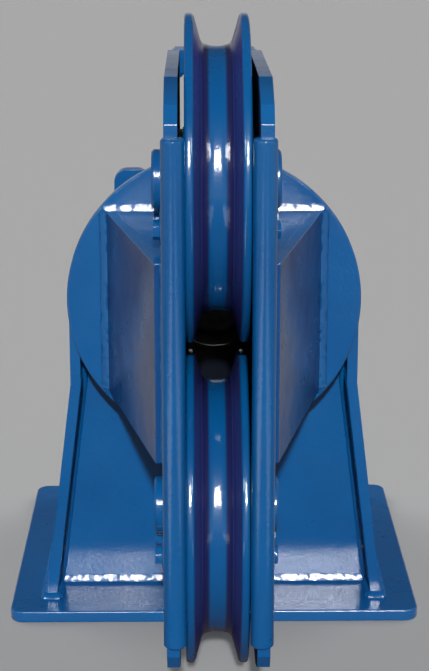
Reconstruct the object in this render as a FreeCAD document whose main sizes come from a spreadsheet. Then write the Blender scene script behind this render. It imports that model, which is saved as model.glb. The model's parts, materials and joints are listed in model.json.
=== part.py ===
import FreeCAD, Part
import os
import re

import Sketcher
from FreeCAD import Placement, Rotation, Vector

# Pivoting fairlead: a plate pedestal carries a hollow trunnion, and on the trunnion turns a head
# with two grooved sheaves. The rope runs through the trunnion and out between the sheaves.
# Frame: X to the right, Y to the rear, Z up, origin at the centre of the base plate's underside.
# Lengths are millimetres.

os.makedirs("parts", exist_ok=True)
doc = FreeCAD.newDocument("PivotingFairlead")

# Driving sizes

SIZES = {
    # base plate
    "base_width": 640,
    "base_depth": 570,
    "base_thick": 19,
    "base_corner": 22,
    # pedestal plates, set back from the base plate's edges, their heights taken from the pivot
    "base_margin": 54,
    "knee_drop": 139,
    "shoulder_width": 442,
    "shoulder_drop": 40,
    "crown_room": 13,
    "crown_width": 140,
    "front_recess": 69,
    "rear_recess": 69,
    "side_thick": 16,
    "panel_thick": 14,
    "crown_thick": 12,
    "crown_bend": 18,
    # lifting eye on the left slope of the crown
    "eye_middle": 126,
    "eye_width": 56,
    "eye_thick": 20,
    "eye_top": 174,
    "eye_setback": 126,
    "eye_corner": 20,
    "eye_hole": 30,
    "eye_hole_drop": 30,
    # pivot, above the top of the base plate: bearing housing, bushes and hollow trunnion
    "pivot_height": 494,
    "housing_outer": 190,
    "housing_length": 455,
    "bush_outer": 160,
    "bush_length": 120,
    "bush_flange_outer": 186,
    "bush_flange_thick": 8,
    "trunnion_outer": 140,
    "trunnion_bore": 100,
    "mouth_round": 8,
    "mouth_bevel": 5,
    "ring_outer": 186,
    "ring_thick": 16,
    "ring_screw_circle": 120,
    "screw_shank": 12,
    "screw_depth": 26,
    "screw_head": 18,
    "screw_head_height": 12,
    "socket_width": 10,
    "socket_depth": 6,
    # head flange and cheeks
    "flange_outer": 444,
    "flange_thick": 19,
    "flange_clear": 5,
    "flange_edge": 2,
    "cheek_gap": 100,
    "cheek_thick": 17,
    "cheek_corner": 347,
    "cheek_facet_run": 16,
    "cheek_facet_rise": 22,
    "cheek_shoulder_run": 80,
    "cheek_shoulder_rise": 47,
    "axle_reach": 249,
    "axle_offset": 233,
    # guard bars on the front edges of the cheeks
    "bar_reach": 505,
    "bar_outer": 30,
    "bar_half_length": 331,
    "bar_inset": 2.5,
    "bar_bevel": 2.5,
    # box gussets between the flange and the cheeks
    "gusset_half_height": 138,
    "gusset_spread": 162,
    "gusset_nose": 83,
    "gusset_reach": 344,
    "gusset_thick": 16,
    "cover_thick": 12,
    # tie bars between the cheeks
    "tie_width": 130,
    "tie_height": 34,
    "tie_depth": 40,
    "tie_bevel": 8,
    "tie_margin": 5,
    # axles and their keepers
    "axle_outer": 80,
    "axle_proud": 20,
    "axle_edge": 3,
    "keeper_thick": 9,
    "keeper_width": 100,
    "keeper_height": 48,
    "keeper_bite": 6,
    "keeper_corner": 12,
    "keeper_bolt_spacing": 70,
    "keeper_bolt_drop": 62,
    "bolt_shank": 16,
    "bolt_head_flats": 24,
    "bolt_head_height": 10,
    "bolt_depth": 14,
    # sheaves
    "sheave_outer": 440,
    "sheave_width": 85,
    "groove_depth": 43,
    "groove_opening": 62,
    "groove_floor": 36,
    "groove_round": 7,
    "rim_edge": 3,
    "rim_wall": 14,
    "web_thick": 18,
    "web_bevel": 8,
    "hub_outer": 140,
    "hub_width": 90,
    "sheave_bush_outer": 100,
    "washer_outer": 134,
    # grease fittings
    "fitting_hex": 11,
    "fitting_hex_height": 6,
    "fitting_stem": 8,
    "fitting_stem_length": 8,
    "fitting_tip": 6,
    "fitting_tip_height": 7,
    "fitting_neck": 4,
    "fitting_bevel": 1,
    "fitting_recess": 26,
    "fitting_recess_depth": 15,
    "fitting_setback": 42,
    # clearances
    "run_gap": 0.06,
    "seat_gap": 0.05,
    "weld_gap": 0.2,
    "hole_gap": 0.4,
    "end_gap": 0.3,
}

SCREW_COUNT = 6

# Places and lengths that follow from the driving sizes

PLACES = {
    "pivot_up": "base_thick + pivot_height",
    "foot_width": "base_width - 2 * base_margin",
    "pedestal_depth": "base_depth - 2 * base_margin",
    "knee_height": "pivot_height - knee_drop",
    "shoulder_height": "pivot_height - shoulder_drop",
    "crown_height": "pivot_height + housing_outer / 2 + crown_room + crown_thick",
    "side_lean": "(foot_width - shoulder_width) / 2 / knee_height",
    "side_run": "side_thick * sqrt(1 + side_lean ^ 2)",
    "foot_inside": "foot_width / 2 - side_run",
    "shoulder_inside": "shoulder_width / 2 - side_thick",
    "knee_inside": "(foot_inside - shoulder_inside) / side_lean",
    "crown_lean": "(shoulder_width - crown_width) / 2 / (crown_height - shoulder_height)",
    "crown_run": "crown_thick * sqrt(1 + crown_lean ^ 2)",
    "crown_inside": "shoulder_width / 2 - crown_run",
    "crown_inside_top": "crown_height - crown_thick",
    "crown_inside_half": "crown_inside - (crown_inside_top - shoulder_height) * crown_lean",
    "pedestal_front": "-pedestal_depth / 2",
    "front_panel": "pedestal_front + front_recess",
    "rear_panel": "pedestal_depth / 2 - rear_recess - panel_thick",
    "flange_back": "pedestal_front - flange_clear",
    "flange_front": "flange_back - flange_thick",
    "housing_front": "flange_back + end_gap + bush_flange_thick",
    "housing_rear": "housing_front + housing_length",
    "trunnion_rear": "housing_rear + bush_flange_thick + end_gap",
    "axle_line": "flange_front - axle_reach",
    "bar_line": "flange_front - bar_reach",
    "cheek_front": "axle_reach - bar_reach",
    "cheek_outside": "cheek_gap / 2 + cheek_thick",
    "cheek_seat": "axle_reach - tie_depth - tie_margin",
    "bar_middle": "cheek_gap / 2 + cheek_thick / 2 - bar_inset",
    "gusset_lean": "(gusset_spread - gusset_nose) / gusset_reach",
    "gusset_run": "gusset_thick * sqrt(1 + gusset_lean ^ 2)",
    "gusset_inside": "gusset_spread - gusset_run",
    "gusset_inside_reach": "(gusset_inside - cheek_outside) / gusset_lean",
    "axle_half": "cheek_outside + axle_proud",
    "keeper_edge": "axle_outer / 2 - keeper_bite",
    "groove_root": "sheave_outer / 2 - groove_depth",
    "rim_inside": "groove_root - rim_wall",
    "washer_thick": "cheek_gap / 2 - hub_width / 2 - end_gap",
    "eye_outer": "eye_middle + eye_width / 2",
    "eye_inner": "eye_middle - eye_width / 2",
    "eye_crest": "pivot_height + eye_top",
}


# The sheet and its formulas

sheet = doc.addObject("Spreadsheet::Sheet", "Sizes")
for row, (name, size) in enumerate(SIZES.items(), start=1):
    sheet.set(f"A{row}", name)
    sheet.set(f"B{row}", str(size))
    sheet.setAlias(f"B{row}", name)
doc.recompute()


def formula(text):
    """The text with every size and place spelled out as cells of the sheet."""

    def spelled(found):
        word = found.group(0)
        if word in SIZES:
            return "Sizes." + word
        if word in PLACES:
            return "(" + formula(PLACES[word]) + ")"
        return word

    return re.sub(r"[a-z][a-z_]+", spelled, str(text))


def value(text):
    """The number that a formula gives with the sheet as it stands."""
    return float(sheet.evalExpression(formula(text)))


# Drawing helpers

nodes = []


def bind(item, path, text):
    item.setExpression(path, formula(text))


def node(item, label):
    """Names an object as one of the fairlead's pieces."""
    item.Label = label
    nodes.append(item)
    return item


def place(item, across="0", along="0", up="0"):
    bind(item, ".Placement.Base.x", across)
    bind(item, ".Placement.Base.y", along)
    bind(item, ".Placement.Base.z", up)


def new_body(label, across="0", along="0", up="0"):
    body = node(doc.addObject("PartDesign::Body", label), label)
    place(body, across, along, up)
    return body


def new_sketch(body, plane, name):
    sketch = body.newObject("Sketcher::SketchObject", f"{body.Name}_{name}")
    support = [part for part in body.Origin.OriginFeatures if part.Role == plane][0]
    sketch.AttachmentSupport = (support, [""])
    sketch.MapMode = "FlatFace"
    return sketch


def fix_point(sketch, edge, point, across, up):
    for kind, text in (("DistanceX", across), ("DistanceY", up)):
        number = sketch.addConstraint(Sketcher.Constraint(kind, -1, 1, edge, point, value(text)))
        bind(sketch, f"Constraints[{number}]", text)


def outline(sketch, corners):
    """Adds a closed outline of straight edges through corners given as pairs of formulas."""
    first = sketch.GeometryCount
    spots = [Vector(value(across), value(up), 0) for across, up in corners]
    count = len(spots)
    for number in range(count):
        sketch.addGeometry(Part.LineSegment(spots[number], spots[(number + 1) % count]))
    for number, (across, up) in enumerate(corners):
        before = first + (number - 1) % count
        sketch.addConstraint(Sketcher.Constraint("Coincident", before, 2, first + number, 1))
        fix_point(sketch, first + number, 1, across, up)


def circle(sketch, across, up, radius):
    centre = Vector(value(across), value(up), 0)
    edge = sketch.addGeometry(Part.Circle(centre, Vector(0, 0, 1), value(radius)))
    fix_point(sketch, edge, 3, across, up)
    number = sketch.addConstraint(Sketcher.Constraint("Radius", edge, value(radius)))
    bind(sketch, f"Constraints[{number}]", radius)


def mirrored(half):
    """The corners of the right half, bottom to top, followed by their mirror image."""
    return half + [(f"-({across})", up) for across, up in reversed(half)]


def signed(corners, sign):
    """The corners as they are for the right side, or turned over for the left side."""
    return [(f"{sign} * ({across})", up) for across, up in corners]


def pad(body, sketch, length, middle=False, backward=False):
    feature = body.newObject("PartDesign::Pad", f"{sketch.Name}_pad")
    feature.Profile = sketch
    feature.Midplane = middle
    feature.Reversed = backward
    bind(feature, "Length", length)
    return feature


def pocket(body, sketch, length, middle=False, backward=False):
    """Cuts the sketch's shape out of the body, and checks that something was cut."""
    doc.recompute()
    before = body.Shape.Volume
    feature = body.newObject("PartDesign::Pocket", f"{sketch.Name}_cut")
    feature.Profile = sketch
    feature.Midplane = middle
    feature.Reversed = backward
    bind(feature, "Length", length)
    doc.recompute()
    if body.Shape.Volume > before - 1:
        raise RuntimeError(f"{feature.Name} cuts nothing")
    return feature


def turn(body, sketch, axis):
    feature = body.newObject("PartDesign::Revolution", f"{sketch.Name}_turned")
    feature.Profile = sketch
    feature.ReferenceAxis = (sketch, [axis])
    feature.Angle = 360
    return feature


def round_edges(body, name, radius, wanted, kind="Fillet"):
    """Rounds or bevels the edges of the body that the test picks."""
    doc.recompute()
    base = body.Tip
    edges = [f"Edge{i}" for i, edge in enumerate(base.Shape.Edges, start=1) if wanted(edge)]
    if not edges:
        raise RuntimeError(f"{body.Label} has no edge for {name}")
    feature = body.newObject(f"PartDesign::{kind}", f"{body.Name}_{name}")
    feature.Base = (base, edges)
    bind(feature, "Radius" if kind == "Fillet" else "Size", radius)
    doc.recompute()
    return feature


def near(first, second):
    return abs(first - second) < 0.01


def round_edge_of(edge, radius):
    """Tells whether an edge is a full circle of the given radius."""
    return isinstance(edge.Curve, Part.Circle) and near(edge.Curve.Radius, radius)


def turned_about_y(label, corners, along="0"):
    """A piece turned about the pivot axis, from corners given as radius and place along Y."""
    body = new_body(label, along=along, up="pivot_up")
    sketch = new_sketch(body, "XY_Plane", "profile")
    outline(sketch, corners)
    turn(body, sketch, "V_Axis")
    return body


def tube_corners(inner, outer, start, end):
    return [(inner, start), (outer, start), (outer, end), (inner, end)]


# Base plate

base_plate = new_body("base_plate")
base_sketch = new_sketch(base_plate, "XY_Plane", "outline")
BASE_HALF = [("base_width / 2", "-base_depth / 2"), ("base_width / 2", "base_depth / 2")]
outline(base_sketch, mirrored(BASE_HALF))
pad(base_plate, base_sketch, "base_thick")
round_edges(
    base_plate,
    "corners",
    "base_corner",
    lambda edge: near(edge.BoundBox.ZLength, value("base_thick")),
)


# Side plates, each bent at the knee

SIDE_CORNERS = [
    ("foot_inside", "0"),
    ("foot_width / 2", "0"),
    ("shoulder_width / 2", "knee_height"),
    ("shoulder_width / 2", "shoulder_height"),
    ("shoulder_inside", "shoulder_height"),
    ("shoulder_inside", "knee_inside"),
]

for side, sign in (("left", -1), ("right", 1)):
    plate = new_body(f"side_plate_{side}", up="base_thick")
    plate_sketch = new_sketch(plate, "XZ_Plane", "outline")
    outline(plate_sketch, signed(SIDE_CORNERS, sign))
    pad(plate, plate_sketch, "pedestal_depth", middle=True)


# Front and rear plates, which fill the frame of side plates and crown

PANEL_HALF = [
    ("foot_inside", "0"),
    ("shoulder_inside", "knee_inside"),
    ("shoulder_inside", "shoulder_height"),
    ("crown_inside", "shoulder_height"),
    ("crown_inside_half", "crown_inside_top"),
]

for label, along in (("front_plate", "front_panel"), ("rear_plate", "rear_panel")):
    panel = new_body(label, along=along, up="base_thick")
    panel_sketch = new_sketch(panel, "XZ_Plane", "outline")
    outline(panel_sketch, mirrored(PANEL_HALF))
    circle(panel_sketch, "0", "pivot_height", "housing_outer / 2 + weld_gap")
    pad(panel, panel_sketch, "panel_thick", backward=True)


# Crown plate, bent twice, closing the pedestal's top

CROWN_OUTSIDE = [("shoulder_width / 2", "shoulder_height"), ("crown_width / 2", "crown_height")]
CROWN_INSIDE = [("crown_inside", "shoulder_height"), ("crown_inside_half", "crown_inside_top")]

crown = new_body("crown_plate", along="(front_panel + rear_panel + panel_thick) / 2", up="base_thick")
crown_sketch = new_sketch(crown, "XZ_Plane", "outline")
outline(crown_sketch, mirrored(CROWN_OUTSIDE) + list(reversed(mirrored(CROWN_INSIDE))))
pad(crown, crown_sketch, "rear_panel + panel_thick - front_panel", middle=True)
round_edges(
    crown,
    "bends",
    "crown_bend",
    lambda edge: near(edge.CenterOfMass.z, value("crown_height")) and near(edge.BoundBox.XLength, 0),
)


# Lifting eye, standing on the left slope of the crown

EYE_CORNERS = [
    ("-eye_outer", "shoulder_height + (shoulder_width / 2 - eye_outer) / crown_lean"),
    ("-eye_inner", "shoulder_height + (shoulder_width / 2 - eye_inner) / crown_lean"),
    ("-eye_inner", "eye_crest"),
    ("-eye_outer", "eye_crest"),
]

eye = new_body("lifting_eye", along="pedestal_front + eye_setback", up="base_thick")
eye_sketch = new_sketch(eye, "XZ_Plane", "outline")
outline(eye_sketch, EYE_CORNERS)
circle(eye_sketch, "-eye_middle", "eye_crest - eye_hole_drop", "eye_hole / 2")
pad(eye, eye_sketch, "eye_thick", middle=True)
round_edges(
    eye,
    "corners",
    "eye_corner",
    lambda edge: near(edge.CenterOfMass.z, value("eye_crest")) and near(edge.BoundBox.XLength, 0),
)


# Bearing housing, with a greased hole through its wall

housing = turned_about_y(
    "bearing_housing",
    tube_corners("bush_outer / 2", "housing_outer / 2", "housing_front", "housing_rear"),
)
grease_hole = new_sketch(housing, "XY_Plane", "grease_hole")
circle(grease_hole, "0", "housing_rear - fitting_setback", "fitting_stem / 2 + seat_gap")
pocket(housing, grease_hole, "housing_outer", backward=True)


# Flanged bushes, pressed in from both ends of the housing

for label, face, sign in (("front_bush", "housing_front", 1), ("rear_bush", "housing_rear", -1)):
    turned_about_y(
        label,
        [
            ("trunnion_outer / 2 + run_gap", f"-{sign} * bush_flange_thick"),
            ("bush_flange_outer / 2", f"-{sign} * bush_flange_thick"),
            ("bush_flange_outer / 2", "0"),
            ("bush_outer / 2 - seat_gap", "0"),
            ("bush_outer / 2 - seat_gap", f"{sign} * bush_length"),
            ("trunnion_outer / 2 + run_gap", f"{sign} * bush_length"),
        ],
        along=face,
    )


# Hollow trunnion, tapped at its rear end, and the ring that holds it in the housing

trunnion = turned_about_y(
    "trunnion_tube",
    tube_corners("trunnion_bore / 2", "trunnion_outer / 2", "flange_front", "trunnion_rear"),
)
round_edges(
    trunnion,
    "mouth",
    "mouth_round",
    lambda edge: round_edge_of(edge, value("trunnion_bore / 2")) and edge.CenterOfMass.y < 0,
)
ring = turned_about_y(
    "retaining_ring",
    tube_corners("trunnion_bore / 2", "ring_outer / 2", "0", "ring_thick"),
    along="trunnion_rear",
)
round_edges(
    ring,
    "mouth",
    "mouth_bevel",
    lambda edge: round_edge_of(edge, value("trunnion_bore / 2")) and edge.CenterOfMass.y > 1,
    kind="Chamfer",
)


def around_pivot(body, features):
    """Repeats features evenly round the pivot axis, once for each screw."""
    pattern = body.newObject("PartDesign::PolarPattern", f"{body.Name}_circle")
    pattern.Originals = features
    pattern.Axis = ([part for part in body.Origin.OriginFeatures if part.Role == "Y_Axis"][0], [""])
    pattern.Angle = 360
    pattern.Occurrences = SCREW_COUNT
    body.Tip = pattern
    doc.recompute()


def screw_holes(body, radius, plane_at, depth):
    """A circle of holes, cut forward from a plane square to the pivot axis."""
    sketch = new_sketch(body, "XZ_Plane", "screw_holes")
    bind(sketch, ".AttachmentOffset.Base.z", f"-({plane_at})")
    circle(sketch, "ring_screw_circle / 2", "0", radius)
    around_pivot(body, [pocket(body, sketch, depth, backward=True)])


screw_holes(trunnion, "screw_shank / 2 + seat_gap", "trunnion_rear", "screw_depth")
screw_holes(ring, "screw_shank / 2 + hole_gap", "ring_thick", "ring_thick")


# Socket head screws through the retaining ring

screws = new_body("retaining_screws", along="trunnion_rear + ring_thick", up="pivot_up")
screw_sketch = new_sketch(screws, "XZ_Plane", "head")
circle(screw_sketch, "ring_screw_circle / 2", "0", "screw_head / 2")
head_pad = pad(screws, screw_sketch, "screw_head_height", backward=True)
shank_sketch = new_sketch(screws, "XZ_Plane", "shank")
circle(shank_sketch, "ring_screw_circle / 2", "0", "screw_shank / 2")
shank_pad = pad(screws, shank_sketch, "ring_thick + screw_depth - end_gap")
socket_sketch = new_sketch(screws, "XZ_Plane", "socket")
bind(socket_sketch, ".AttachmentOffset.Base.z", "-screw_head_height")
socket_corners = [
    (
        f"ring_screw_circle / 2 + socket_width / 2 / cos(30) * cos({angle})",
        f"socket_width / 2 / cos(30) * sin({angle})",
    )
    for angle in range(30, 390, 60)
]
outline(socket_sketch, socket_corners)
socket_cut = pocket(screws, socket_sketch, "socket_depth", backward=True)
around_pivot(screws, [head_pad, shank_pad, socket_cut])


# Head flange

flange = turned_about_y(
    "head_flange",
    tube_corners("trunnion_outer / 2 + weld_gap", "flange_outer / 2", "0", "flange_thick"),
    along="flange_front",
)
round_edges(
    flange,
    "edges",
    "flange_edge",
    lambda edge: round_edge_of(edge, value("flange_outer / 2")),
    kind="Chamfer",
)


# Cheeks, with faceted front corners and a notch for each tie bar next to the flange

AXLES = (("upper", 1), ("lower", -1))
CHEEK_TOP = [
    ("cheek_front", "cheek_corner"),
    ("cheek_front + cheek_facet_run", "cheek_corner + cheek_facet_rise"),
    ("cheek_front + cheek_shoulder_run", "cheek_corner + cheek_shoulder_rise"),
    ("cheek_seat", "cheek_corner + tie_height"),
    ("cheek_seat", "cheek_corner"),
    ("axle_reach", "cheek_corner"),
]
CHEEK_BOTTOM = [(across, f"-({up})") for across, up in reversed(CHEEK_TOP)]

for side, inner in (("left", "-cheek_outside"), ("right", "cheek_gap / 2")):
    cheek = new_body(f"cheek_{side}", across=inner, along="axle_line", up="pivot_up")
    cheek_sketch = new_sketch(cheek, "YZ_Plane", "outline")
    outline(cheek_sketch, CHEEK_TOP + CHEEK_BOTTOM)
    for _, level in AXLES:
        circle(cheek_sketch, "0", f"{level} * axle_offset", "axle_outer / 2 + seat_gap")
        for step in (-1, 1):
            circle(
                cheek_sketch,
                f"{step} * keeper_bolt_spacing / 2",
                f"{level} * axle_offset - keeper_bolt_drop",
                "bolt_shank / 2 + seat_gap",
            )
    pad(cheek, cheek_sketch, "cheek_thick")


# Guard bars, slotted over the front edges of the cheeks

for side, sign in (("left", -1), ("right", 1)):
    bar = new_body(f"guard_bar_{side}", f"{sign} * bar_middle", "bar_line", "pivot_up")
    bar_sketch = new_sketch(bar, "XY_Plane", "section")
    circle(bar_sketch, "0", "0", "bar_outer / 2")
    pad(bar, bar_sketch, "2 * bar_half_length", middle=True)
    rim = value("bar_outer / 2")
    round_edges(bar, "ends", "bar_bevel", lambda edge: round_edge_of(edge, rim), kind="Chamfer")
    slot_sketch = new_sketch(bar, "XY_Plane", "slot")
    slot_left = f"{sign} * bar_inset - cheek_thick / 2 - seat_gap"
    slot_right = f"{sign} * bar_inset + cheek_thick / 2 + seat_gap"
    slot_corners = [
        (slot_left, "0"),
        (slot_right, "0"),
        (slot_right, "bar_outer"),
        (slot_left, "bar_outer"),
    ]
    outline(slot_sketch, slot_corners)
    pocket(bar, slot_sketch, "3 * bar_half_length", middle=True)


# Box gussets: a slanted side plate from the flange to the cheek, closed above and below

GUSSET_SIDE = [
    ("gusset_spread", "0"),
    ("gusset_nose", "-gusset_reach"),
    ("cheek_outside", "-gusset_reach"),
    ("cheek_outside", "-gusset_inside_reach"),
    ("gusset_inside", "0"),
]
GUSSET_COVER = [
    ("gusset_inside", "0"),
    ("cheek_outside", "-gusset_inside_reach"),
    ("cheek_outside", "0"),
]

for side, sign in (("left", -1), ("right", 1)):
    wall = new_body(f"gusset_side_{side}", along="flange_front", up="pivot_up")
    wall_sketch = new_sketch(wall, "XY_Plane", "outline")
    outline(wall_sketch, signed(GUSSET_SIDE, sign))
    pad(wall, wall_sketch, "2 * gusset_half_height", middle=True)
    for level, bottom in (("top", "gusset_half_height - cover_thick"), ("bottom", "-gusset_half_height")):
        cover = new_body(f"gusset_{level}_{side}", along="flange_front", up=f"pivot_up + {bottom}")
        cover_sketch = new_sketch(cover, "XY_Plane", "outline")
        outline(cover_sketch, signed(GUSSET_COVER, sign))
        pad(cover, cover_sketch, "cover_thick")


# Tie bars across the ends of the cheeks

for level, bottom, crest in (
    ("top", "cheek_corner", "cheek_corner + tie_height"),
    ("bottom", "-cheek_corner - tie_height", "-cheek_corner - tie_height"),
):
    tie = new_body(f"tie_bar_{level}", along="flange_front - tie_depth / 2", up=f"pivot_up + {bottom}")
    tie_sketch = new_sketch(tie, "XZ_Plane", "outline")
    outline(tie_sketch, mirrored([("tie_width / 2", "0"), ("tie_width / 2", "tie_height")]))
    pad(tie, tie_sketch, "tie_depth", middle=True)
    edge_height = value(crest) - value(bottom)
    round_edges(
        tie,
        "bevels",
        "tie_bevel",
        lambda edge: near(edge.CenterOfMass.z, edge_height) and near(edge.BoundBox.XLength, 0),
        kind="Chamfer",
    )


# Axles with keeper slots, keeper plates, thrust washers, sheaves and their bushes

KEEPER_HALF = [
    ("keeper_width / 2 - keeper_corner", "-keeper_edge - keeper_height"),
    ("keeper_width / 2", "-keeper_edge - keeper_height + keeper_corner"),
    ("keeper_width / 2", "-keeper_edge - end_gap"),
]
SHEAVE_HALF = [
    ("hub_width / 2", "sheave_bush_outer / 2 + seat_gap"),
    ("hub_width / 2", "hub_outer / 2"),
    ("web_thick / 2", "hub_outer / 2"),
    ("web_thick / 2", "rim_inside"),
    ("sheave_width / 2", "rim_inside"),
    ("sheave_width / 2", "sheave_outer / 2"),
    ("groove_opening / 2", "sheave_outer / 2"),
    ("groove_floor / 2", "groove_root"),
]


def turned_about_x(label, corners, across, up):
    """A piece turned about an axle, from corners given as place along X and radius."""
    body = new_body(label, across, "axle_line", up)
    sketch = new_sketch(body, "XY_Plane", "profile")
    outline(sketch, corners)
    turn(body, sketch, "H_Axis")
    return body


def axle(label, up):
    corners = [
        ("-axle_half", "0"),
        ("axle_half", "0"),
        ("axle_half", "axle_outer / 2"),
        ("-axle_half", "axle_outer / 2"),
    ]
    body = turned_about_x(label, corners, "0", up)
    rim = value("axle_outer / 2")
    round_edges(body, "edges", "axle_edge", lambda edge: round_edge_of(edge, rim), kind="Chamfer")
    slots = new_sketch(body, "XZ_Plane", "keeper_slots")
    for side in (-1, 1):
        outline(
            slots,
            [
                (f"{side} * (cheek_outside - end_gap)", "-keeper_edge"),
                (f"{side} * (cheek_outside + keeper_thick + end_gap)", "-keeper_edge"),
                (f"{side} * (cheek_outside + keeper_thick + end_gap)", "-axle_outer"),
                (f"{side} * (cheek_outside - end_gap)", "-axle_outer"),
            ],
        )
    pocket(body, slots, "2 * axle_outer", middle=True)
    recess = new_sketch(body, "YZ_Plane", "grease_recess")
    bind(recess, ".AttachmentOffset.Base.z", "axle_half")
    circle(recess, "0", "0", "fitting_recess / 2")
    pocket(body, recess, "fitting_recess_depth")
    stem = new_sketch(body, "YZ_Plane", "grease_hole")
    bind(stem, ".AttachmentOffset.Base.z", "axle_half")
    circle(stem, "0", "0", "fitting_stem / 2 + seat_gap")
    pocket(body, stem, "axle_half")


def sheave(label, up):
    body = turned_about_x(label, mirrored(SHEAVE_HALF), "0", up)
    round_edges(body, "groove", "groove_round", lambda edge: round_edge_of(edge, value("groove_root")))
    rim = value("sheave_outer / 2")
    round_edges(body, "rims", "rim_edge", lambda edge: round_edge_of(edge, rim), kind="Chamfer")
    web = (value("hub_outer / 2"), value("rim_inside"))
    half_web = value("web_thick / 2")
    round_edges(
        body,
        "web",
        "web_bevel",
        lambda edge: any(round_edge_of(edge, radius) for radius in web)
        and near(abs(edge.CenterOfMass.x), half_web),
        kind="Chamfer",
    )


for name, level in AXLES:
    height = f"pivot_up + {level} * axle_offset"
    axle(f"{name}_axle", height)
    sheave(f"{name}_sheave", height)
    turned_about_x(
        f"{name}_sheave_bush",
        [
            ("-hub_width / 2", "axle_outer / 2 + run_gap"),
            ("hub_width / 2", "axle_outer / 2 + run_gap"),
            ("hub_width / 2", "sheave_bush_outer / 2"),
            ("-hub_width / 2", "sheave_bush_outer / 2"),
        ],
        "0",
        height,
    )
    for side, sign in (("left", -1), ("right", 1)):
        turned_about_x(
            f"{name}_washer_{side}",
            [
                ("0", "axle_outer / 2 + weld_gap"),
                (f"{sign} * washer_thick", "axle_outer / 2 + weld_gap"),
                (f"{sign} * washer_thick", "washer_outer / 2"),
                ("0", "washer_outer / 2"),
            ],
            f"{sign} * (cheek_gap / 2 - washer_thick)",
            height,
        )
        inner = "cheek_outside" if sign > 0 else "-cheek_outside - keeper_thick"
        keeper = new_body(f"{name}_keeper_{side}", inner, "axle_line", height)
        keeper_sketch = new_sketch(keeper, "YZ_Plane", "outline")
        outline(keeper_sketch, mirrored(KEEPER_HALF))
        for step in (-1, 1):
            circle(
                keeper_sketch,
                f"{step} * keeper_bolt_spacing / 2",
                "-keeper_bolt_drop",
                "bolt_shank / 2 + hole_gap",
            )
        pad(keeper, keeper_sketch, "keeper_thick")


# Hexagon bolts of the keepers, one group


def hex_bolt(name, sign, along, up):
    """A bolt whose head lies against a keeper plate, its shank pointing at the cheek."""
    turned = Rotation(Vector(0, 1, 0), 90 * sign)
    head = doc.addObject("Part::Prism", f"{name}_head")
    head.Polygon = 6
    bind(head, "Circumradius", "bolt_head_flats / 2 / cos(30)")
    bind(head, "Height", "bolt_head_height")
    shank = doc.addObject("Part::Cylinder", f"{name}_shank")
    bind(shank, "Radius", "bolt_shank / 2")
    bind(shank, "Height", "keeper_thick + bolt_depth")
    for item, across in (
        (head, "cheek_outside + keeper_thick"),
        (shank, "cheek_outside - bolt_depth"),
    ):
        item.Placement = Placement(Vector(0, 0, 0), turned)
        place(item, f"{sign} * ({across})", along, up)
    bolt = doc.addObject("Part::MultiFuse", name)
    bolt.Shapes = [head, shank]
    return bolt


bolts = []
for name, level in AXLES:
    for side, sign in (("left", -1), ("right", 1)):
        for step in (-1, 1):
            bolts.append(
                hex_bolt(
                    f"{name}_{side}_bolt_{'front' if step < 0 else 'rear'}",
                    sign,
                    f"axle_line + {step} * keeper_bolt_spacing / 2",
                    f"pivot_up + {level} * axle_offset - keeper_bolt_drop",
                )
            )
bolt_group = doc.addObject("Part::Compound", "keeper_bolts")
bolt_group.Links = bolts
node(bolt_group, "keeper_bolts")


# Grease fittings: one on the housing, one in the right-hand end of each axle

FITTING_HALF = [
    ("0", "-fitting_stem_length"),
    ("fitting_stem / 2", "-fitting_stem_length"),
    ("fitting_stem / 2", "0"),
    ("fitting_hex / 2", "0"),
    ("fitting_hex / 2", "fitting_hex_height"),
    ("fitting_neck / 2", "fitting_hex_height + fitting_bevel"),
    ("fitting_tip / 2", "fitting_hex_height + fitting_tip_height - 2 * fitting_bevel"),
    ("fitting_neck / 2", "fitting_hex_height + fitting_tip_height"),
    ("0", "fitting_hex_height + fitting_tip_height"),
]


def fitting(label, axis, across, along, up):
    """A grease fitting turned about Z, then laid along the given axis."""
    body = new_body(label)
    sketch = new_sketch(body, "XZ_Plane", "profile")
    outline(sketch, FITTING_HALF)
    turn(body, sketch, "V_Axis")
    body.Placement = Placement(Vector(0, 0, 0), Rotation(Vector(0, 0, 1), axis))
    place(body, across, along, up)


fitting(
    "housing_fitting",
    Vector(0, 0, 1),
    "0",
    "housing_rear - fitting_setback",
    "pivot_up + housing_outer / 2",
)
for name, level in AXLES:
    fitting(
        f"{name}_axle_fitting",
        Vector(1, 0, 0),
        "axle_half - fitting_recess_depth",
        "axle_line",
        f"pivot_up + {level} * axle_offset",
    )


# Check every object, then write one file for each piece

doc.recompute()
faulty = [item.Name for item in doc.Objects if {"Invalid", "Error"} & set(item.State)]
if faulty:
    raise RuntimeError(f"objects that failed: {faulty}")
for item in nodes:
    if item.Shape.isNull() or not item.Shape.isValid() or not item.Shape.Solids:
        raise RuntimeError(f"{item.Label} has no valid solid")
for item in nodes:
    item.Shape.exportStep(f"parts/{item.Label}.step")
print(f"{len(nodes)} pieces, {sum(item.Shape.Volume for item in nodes) / 1e6:.1f} litres of metal")
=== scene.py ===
# %% [markdown]
# A pivoting fairlead is a rope guide for a winch or a mooring line. A plate pedestal stands on
# the deck and carries a hollow trunnion. A head turns on the trunnion, and the rope leaves the
# head between two grooved sheaves. The whole machine is welded from plate and sprayed with a
# thick, glossy royal blue enamel. This lesson dresses the finished construction model: every
# plate gets its paint, every welded joint that shows gets its bead, and the screws and bolts get
# their true heads.

# %% Load the construction model
import json
import math

import bpy
from mathutils import Matrix, Vector


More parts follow.
